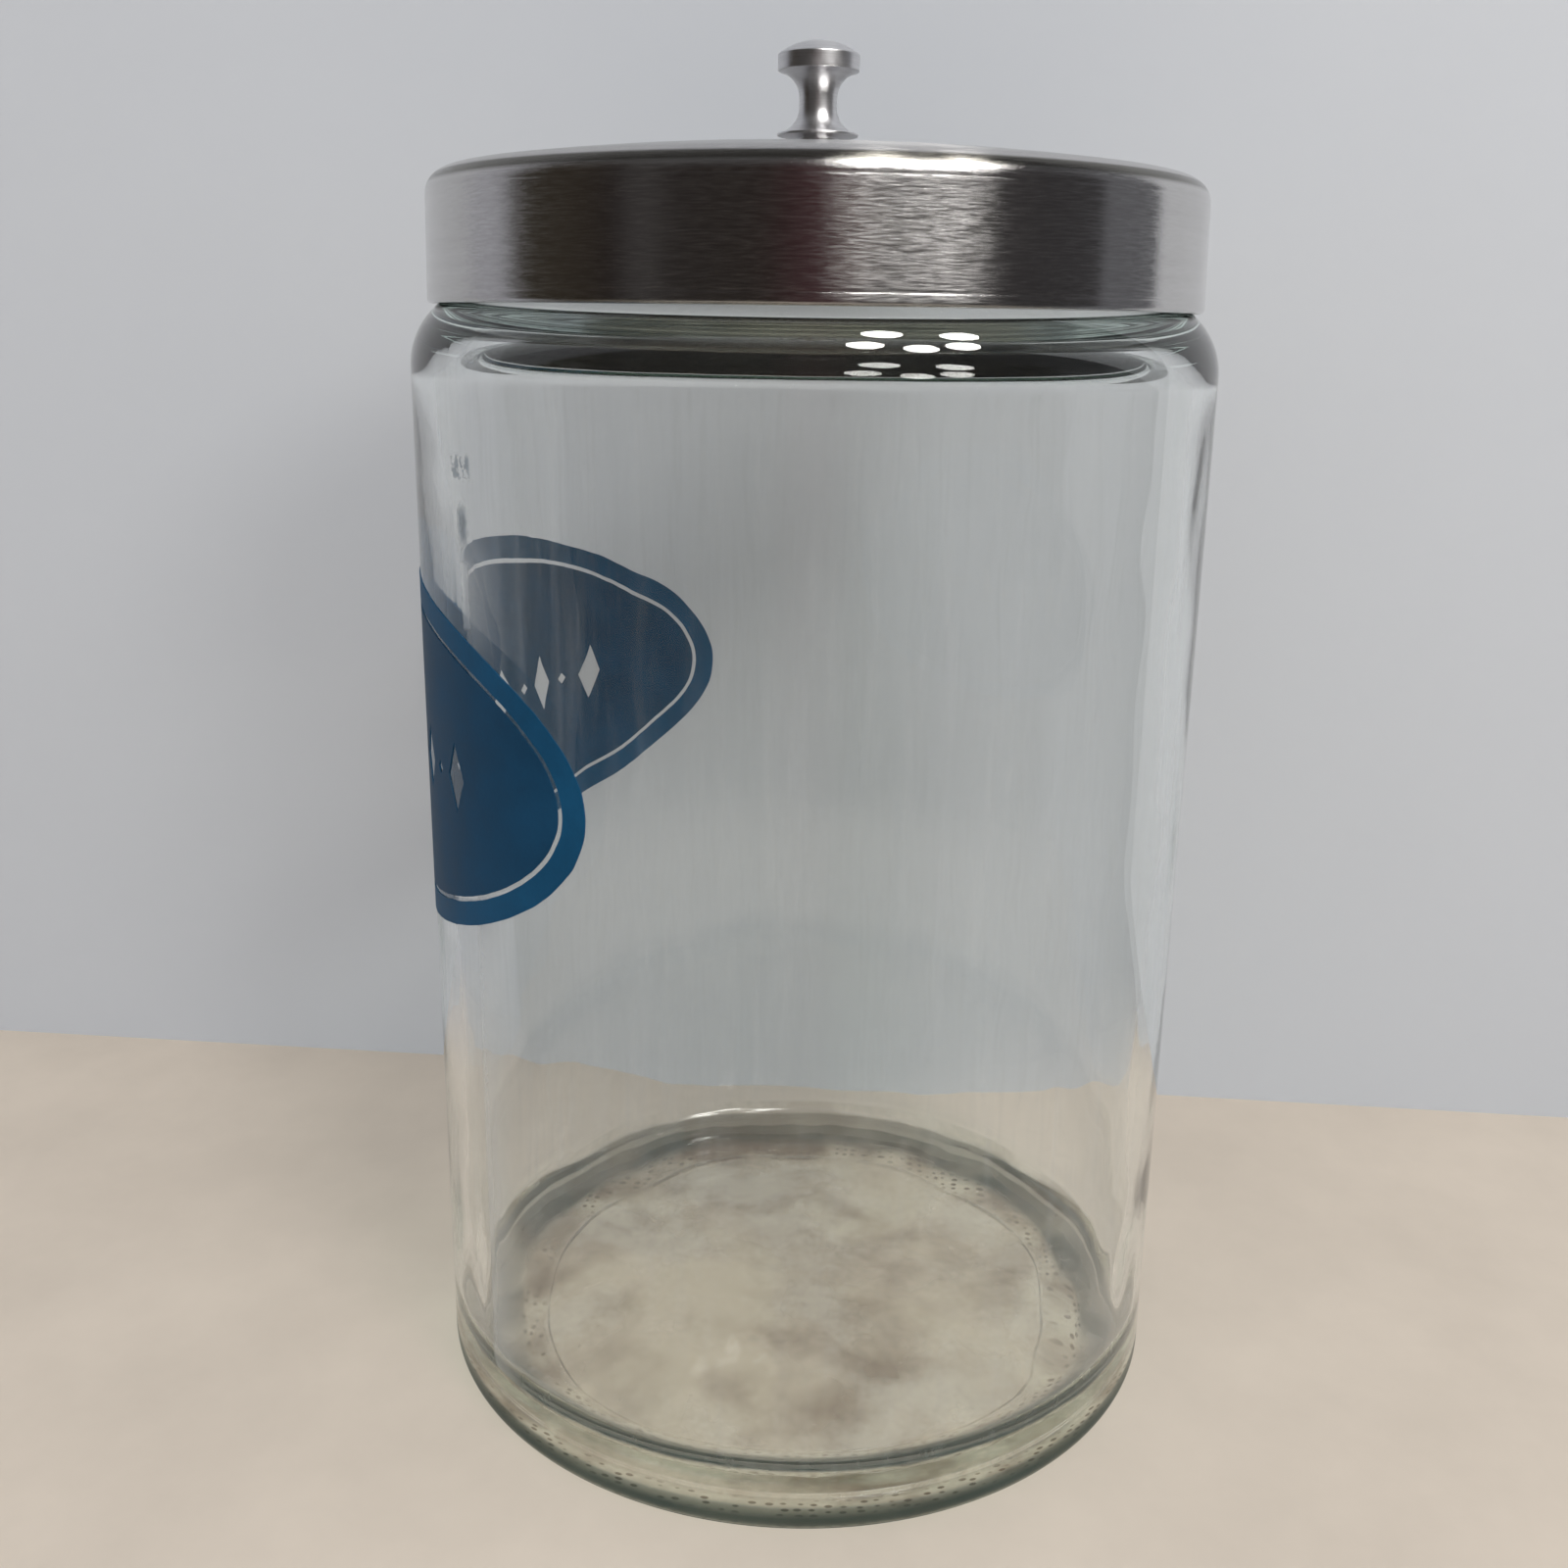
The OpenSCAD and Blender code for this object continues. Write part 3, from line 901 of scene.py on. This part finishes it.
def brushed_steel():
    """Stainless sheet, brushed round the lid, so that its reflections are drawn upright.
    Inside, where the sheet is as it was drawn, it is duller, and its colour is darkened as painted
    shade."""
    s = new_material("brushed_steel")
    vector, _, _, z = s.place()
    fine = brushed(s, 0.045, 0.2 * MM)
    broad = brushed(s, 0.8, 1.1 * MM)
    smudges = s.noise(vector, 16 * MM, 4.0, 0.6)
    lines = s.math("ADD", s.math("MULTIPLY", fine, 0.65), s.math("MULTIPLY", broad, 0.35))
    tone = s.math("ADD", s.math("MULTIPLY", lines, 0.8), s.math("MULTIPLY", smudges, 0.2))
    outside = s.math(
        "MAXIMUM",
        s.between(s.radius(), INNER_SKIRT_R, INNER_SKIRT_R + 0.3 * MM),
        s.between(z, lid_high.z - 4.4 * MM, lid_high.z - 4.1 * MM),
    )
    bright = s.ramp(tone, (0.3, (0.50, 0.49, 0.485)), (0.7, (0.68, 0.675, 0.67)))
    # painted shade: inside the lid the steel's colour is made far darker, as if in shadow
    painted_shade_inside = s.ramp(tone, (0.3, (0.13, 0.125, 0.11)), (0.7, (0.20, 0.195, 0.18)))
    rough = s.add(
        "MapRange",
        {"Value": fine, "From Min": 0.35, "From Max": 0.65, "To Min": 0.15, "To Max": 0.25},
    )
    tangent = s.add("Tangent", direction_type="RADIAL", axis="Z").outputs[0]
    s.put(
        s.shader,
        {
            "Base Color": s.blend(outside, painted_shade_inside, bright),
            "Metallic": 1.0,
            "Roughness": rough.outputs["Result"],
            "Anisotropic": 1.0,
            "Anisotropic Rotation": 0.25,
            "Tangent": tangent,
            "Normal": s.bump(lines, 0.04 * MM),
        },
    )
    return s.owner


def turned_aluminium():
    """Satin aluminium with the fine rings that the lathe left."""
    s = new_material("turned_aluminium")
    vector, *_ = s.place()
    rings = brushed(s, 1.5, 0.12 * MM)
    wear = s.noise(vector, 3 * MM, 4.0, 0.6)
    tone = s.math("ADD", s.math("MULTIPLY", rings, 0.6), s.math("MULTIPLY", wear, 0.4))
    colour = s.ramp(tone, (0.3, (0.52, 0.52, 0.53)), (0.7, (0.72, 0.72, 0.74)))
    rough = s.add("MapRange", {"Value": wear, "To Min": 0.26, "To Max": 0.44})
    tangent = s.add("Tangent", direction_type="RADIAL", axis="Z").outputs[0]
    s.put(
        s.shader,
        {
            "Base Color": colour,
            "Metallic": 1.0,
            "Roughness": rough.outputs["Result"],
            "Anisotropic": 0.4,
            "Anisotropic Rotation": 0.25,
            "Tangent": tangent,
            "Normal": s.bump(rings, 0.01 * MM, 0.7),
        },
    )
    return s.owner


def plated_steel():
    """Bright plating on the small fasteners."""
    s = new_material("plated_steel")
    vector, *_ = s.place()
    wear = s.noise(vector, 1.2 * MM, 3.0)
    colour = s.ramp(wear, (0.35, (0.50, 0.50, 0.50)), (0.65, (0.66, 0.66, 0.67)))
    rough = s.add("MapRange", {"Value": wear, "To Min": 0.18, "To Max": 0.36})
    s.put(
        s.shader,
        {
            "Base Color": colour,
            "Metallic": 1.0,
            "Roughness": rough.outputs["Result"],
            "Normal": s.bump(wear, 0.01 * MM, 0.5),
        },
    )
    return s.owner


# ---- Stage ----
FLOOR_DROP = 0.1 * MM  # the floor lies this far under the base, so that no faces meet
FLOOR_SIZE = 3.0
TABLE_R = 0.12
FLOOR_TONE = (0.70, 0.615, 0.515)
CARD_TONE = (0.60, 0.63, 0.67)
WALL_X = -0.080
WALL_LEFT = -0.36
WALL_RIGHT = 0.265
WALL_HEIGHT = 0.6


def plane(name, corners, material):
    card = piece_of(name, corners, [(0, 1, 2, 3)])
    card.data.materials.append(material)
    return card


def matt(name, colour, variation, size):
    """A plain matt surface with a trace of tone in it."""
    s = new_material(name)
    vector, *_ = s.place()
    tone = s.noise(vector, size, 5.0, 0.6)
    s.put(
        s.shader,
        {
            "Base Color": s.ramp(
                tone, (0.35, shade(colour, 1 - variation)), (0.65, shade(colour, 1 + variation))
            ),
            "Roughness": 0.75,
            "IOR": 1.3,
        },
    )
    return s


def gone_where(s, factor):
    """Finishes a stage material that is not there where the factor is 1."""
    s.surface(s.mixed(factor, s.shader.outputs[0], s.add("BsdfTransparent").outputs[0]))
    return s.owner


def build_stage():
    """A pale floor, and a pale card close behind, as in the photograph. The card is seen
    from its front only, so that it hides nothing from views behind it. What mirrors the
    floor sees it end near the jar, like a table."""
    half = FLOOR_SIZE / 2
    low = -FLOOR_DROP
    top = matt("floor_matt", FLOOR_TONE, 0.05, 0.05)
    beyond = top.between(top.radius(), TABLE_R, TABLE_R + 0.1)
    mirrored = top.add("LightPath").outputs["Is Glossy Ray"]
    plane(
        "floor",
        [(-half, -half, low), (half, -half, low), (half, half, low), (-half, half, low)],
        gone_where(top, top.math("MULTIPLY", beyond, mirrored)),
    )
    card = matt("card_matt", CARD_TONE, 0.01, 0.1)
    plane(
        "card",
        [
            (WALL_X, WALL_LEFT, low),
            (WALL_X, WALL_RIGHT, low),
            (WALL_X, WALL_RIGHT, WALL_HEIGHT),
            (WALL_X, WALL_LEFT, WALL_HEIGHT),
        ],
        gone_where(card, card.add("NewGeometry").outputs["Backfacing"]),
    )


# ---- Camera, from the photograph ----
CAMERA_AZIMUTH = 4.4  # polar angle, in degrees, at which the camera stands
CAMERA_DISTANCE = 227.4 * MM
CAMERA_HEIGHT = 152.5 * MM
CAMERA_PITCH = 16.11  # degrees below the horizontal
CAMERA_ROLL = 0.846
CAMERA_TURN = 0.80  # how far left of the jar's axis it looks
PHOTO_SIDE = 1600
FOCAL_PIXELS = 1634.8


def build_camera():
    camera = bpy.data.objects.new("camera", bpy.data.cameras.new("camera"))
    bpy.context.scene.collection.objects.link(camera)
    at = math.radians(CAMERA_AZIMUTH)
    place = Vector((math.cos(at), math.sin(at), 0)) * CAMERA_DISTANCE
    place.z = CAMERA_HEIGHT
    turn = (
        Matrix.Rotation(math.radians(90 + CAMERA_AZIMUTH + CAMERA_TURN), 4, "Z")
        @ Matrix.Rotation(math.radians(90 - CAMERA_PITCH), 4, "X")
        @ Matrix.Rotation(math.radians(CAMERA_ROLL), 4, "Z")
    )
    camera.matrix_world = Matrix.Translation(place) @ turn
    camera.data.lens = FOCAL_PIXELS / PHOTO_SIDE * camera.data.sensor_width
    camera.data.clip_start = 10 * MM
    bpy.context.scene.camera = camera


# ---- Light ----
LAMP_DISTANCE = 0.9
LAMPS = (  # degrees to the right of the camera, seen from the jar, and degrees up
    (25.7, 61.6),
    (15.9, 50.4),
    (32.2, 46.3),
    (52.0, 56.6),
    (46.0, 47.4),
)
LAMP_SIZE = 0.12
LAMP_POWER = 1.3  # what glass and metal mirror
SOFT_LAMPS = (  # the same, with the power of what lights the scene
    (27, 64, 1.75),
    (32, 36, 1.3),
)
SOFT_SIZE = 0.22
WARM = (1.0, 0.975, 0.94)
SURROUND = (0.69, 0.695, 0.725)
ROOM_ROUND = (  # polar angles, in degrees, and what stands there
    (-90, (0.045, 0.038, 0.026)),
    (-62, (0.036, 0.029, 0.022)),
    (-52, (0.016, 0.012, 0.012)),
    (-45, (0.085, 0.080, 0.078)),
    (-39, (0.030, 0.026, 0.024)),
    (-8, (0.028, 0.022, 0.019)),
    (2, (0.060, 0.026, 0.029)),
    (12, (0.052, 0.024, 0.026)),
    (20, (0.034, 0.030, 0.029)),
    (90, (0.052, 0.050, 0.052)),
)
ROOM_CEILING = (0.16, 0.16, 0.16, 1)
CEILING_FROM = (0.45, 0.95)  # how high, of 1, the walls turn into it
BEHIND = (0.02, -0.05)  # where the front of the room turns into its back
BACK_SIDES = (0.2, 0.8)
BACK_LEFT = (0.40, 0.40, 0.43)
BACK_RIGHT = (0.15, 0.15, 0.16)


def toward(azimuth, elevation, distance):
    """A point seen from the jar's middle, azimuth degrees to the right of the camera."""
    a, e = math.radians(CAMERA_AZIMUTH + azimuth), math.radians(elevation)
    return distance * Vector((math.cos(a) * math.cos(e), math.sin(a) * math.cos(e), math.sin(e)))


def lamp(name, azimuth, elevation, size, power):
    light = bpy.data.lights.new(name, "AREA")
    light.shape = "DISK"
    light.size = size
    light.energy = power
    light.color = WARM
    made = bpy.data.objects.new(name, light)
    made.location = toward(azimuth, elevation, LAMP_DISTANCE)
    made.rotation_euler = made.location.to_track_quat("Z", "Y").to_euler()
    made.visible_camera = False
    bpy.context.scene.collection.objects.link(made)
    return made


def build_lights():
    """The cluster of round lamps whose glints the glass and the lid show, and soft lamps
    for what lies in their light."""
    for i, (azimuth, elevation) in enumerate(LAMPS):
        lamp(f"glint_{i}", azimuth, elevation, LAMP_SIZE, LAMP_POWER).visible_diffuse = False
    for i, (azimuth, elevation, power) in enumerate(SOFT_LAMPS):
        soft = lamp(f"soft_{i}", azimuth, elevation, SOFT_SIZE, power)
        soft.visible_glossy = False
        soft.visible_transmission = False


def build_world():
    """A plain pale surround. What has been mirrored sees a room instead: pale behind the
    jar and dim in front of it."""
    world = bpy.data.worlds.new("room")
    bpy.context.scene.world = world
    world.cycles.sampling_method = "NONE"  # so that each ray sees the part meant for it
    s = Shading(world)
    _, x, y, z = s.place("Generated")
    turn = s.math("ADD", s.math("DIVIDE", s.math("ARCTAN2", y, x), TAU), 0.5)
    stops = [(0.5 + angle / 360, colour) for angle, colour in ROOM_ROUND]
    front = s.blend(s.between(z, *CEILING_FROM), s.ramp(turn, *stops), ROOM_CEILING)
    back = s.ramp(s.math("ADD", y, 0.5), *zip(BACK_SIDES, (BACK_LEFT, BACK_RIGHT)))
    behind = s.between(x, *BEHIND)
    room = s.add("Background", {"Color": s.blend(behind, front, back)})
    s.shader.inputs["Color"].default_value = (*SURROUND, 1)
    path = s.add("LightPath").outputs
    mirrored = s.math("GREATER_THAN", path["Glossy Depth"], 0.5)
    direct = s.math("SUBTRACT", 1.0, path["Is Diffuse Ray"])
    s.surface(s.mixed(s.math("MULTIPLY", mirrored, direct), s.shader.outputs[0], room.outputs[0]))


def set_rendering():
    scene = bpy.context.scene
    scene.view_settings.view_transform = "Standard"
    scene.cycles.use_denoising = True
    scene.cycles.max_bounces = 24
    scene.cycles.transmission_bounces = 20
    scene.cycles.transparent_max_bounces = 24
    scene.cycles.glossy_bounces = 8
    scene.cycles.diffuse_bounces = 3
    scene.cycles.caustics_reflective = False
    scene.cycles.caustics_refractive = False
    scene.cycles.sample_clamp_indirect = 14.0


build_jar()
build_label()
build_lid()
build_knob()
finish_fastening()
build_stage()
build_camera()
build_lights()
build_world()
set_rendering()
